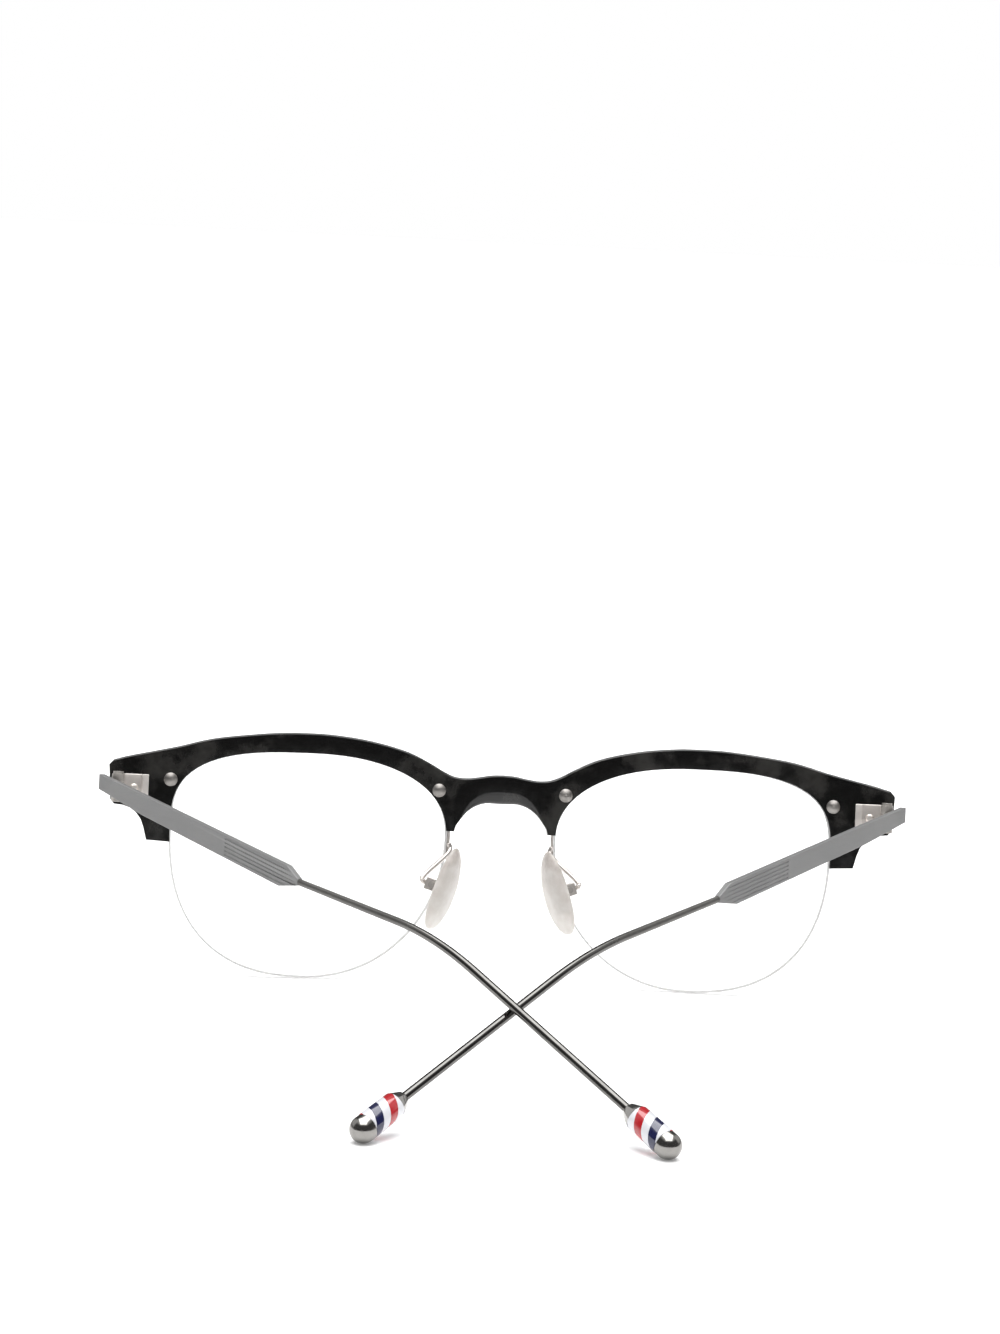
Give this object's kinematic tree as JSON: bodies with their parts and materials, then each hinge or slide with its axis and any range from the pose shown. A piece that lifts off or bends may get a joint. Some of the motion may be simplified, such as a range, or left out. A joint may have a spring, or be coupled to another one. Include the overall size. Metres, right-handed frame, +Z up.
{
  "type": "browline eyeglasses",
  "caption": "Half-rim browline glasses: dark acetate brow, clear panto lenses on nylon cord, nose pads and hinged metal temples ending in enamelled tips.",
  "frame": {"origin": "on the surface that the glasses stand on, under the middle of their bounding box, at rest with both temples partly folded", "axes": "+X towards the wearer's right, +Y forwards (the way the wearer looks), +Z up"},
  "size_m": [0.1476, 0.1236, 0.0449],
  "materials": {
    "acetate": "polished near-black acetate",
    "lens": "clear, polished",
    "nylon": "clear nylon line",
    "fittings": "warm polished silver",
    "satin_metal": "satin grey",
    "gunmetal": "polished dark gunmetal",
    "enamel": "glossy enamel with slanting red and navy bands",
    "pad": "translucent soft silicone"
  },
  "bodies": {
    "front": {"brow_front": "acetate", "brow_rivets": "fittings", "left_lens": "lens", "left_lens_cord": "nylon", "left_rim_bar": "fittings", "left_pad_arm": "fittings", "left_pad_box": "fittings", "left_pad_screw": "fittings", "left_hinge_plate": "fittings", "left_hinge_screw": "fittings", "right_lens": "lens", "right_lens_cord": "nylon", "right_rim_bar": "fittings", "right_pad_arm": "fittings", "right_pad_box": "fittings", "right_pad_screw": "fittings", "right_hinge_plate": "fittings", "right_hinge_screw": "fittings"},
    "left_temple": {"left_hinge_leaf": "fittings", "left_temple_blade": "satin_metal", "left_temple_wire": "gunmetal", "left_tip_collar": "gunmetal", "left_tip_sleeve": "enamel", "left_tip_dome": "gunmetal"},
    "right_temple": {"right_hinge_leaf": "fittings", "right_temple_blade": "satin_metal", "right_temple_wire": "gunmetal", "right_tip_collar": "gunmetal", "right_tip_sleeve": "enamel", "right_tip_dome": "gunmetal"},
    "left_pad": {"left_pad_stud": "fittings", "left_nose_pad": "pad"},
    "right_pad": {"right_pad_stud": "fittings", "right_nose_pad": "pad"}
  },
  "joints": [
    {"name": "left_temple_hinge", "type": "hinge", "parent": "front", "child": "left_temple", "pos_m": [-0.07025, 0.04918, 0.0347], "axis": [0, 0.1564, 0.9877], "range_deg": [-42.8, 42.2], "deforming": ["left_temple_wire"]},
    {"name": "right_temple_hinge", "type": "hinge", "parent": "front", "child": "right_temple", "pos_m": [0.07025, 0.04918, 0.0347], "axis": [0, -0.1564, -0.9877], "range_deg": [-44.5, 36.5], "deforming": ["right_temple_wire"]},
    {"name": "left_pad_rock", "type": "hinge", "parent": "front", "child": "left_pad", "pos_m": [-0.0122, 0.04789, 0.01925], "axis": [0.389, 0.8837, -0.2604], "range_deg": [-8, 8]},
    {"name": "right_pad_rock", "type": "hinge", "parent": "front", "child": "right_pad", "pos_m": [0.0122, 0.04789, 0.01925], "axis": [-0.389, 0.8837, -0.2604], "range_deg": [-8, 8]}
  ]
}
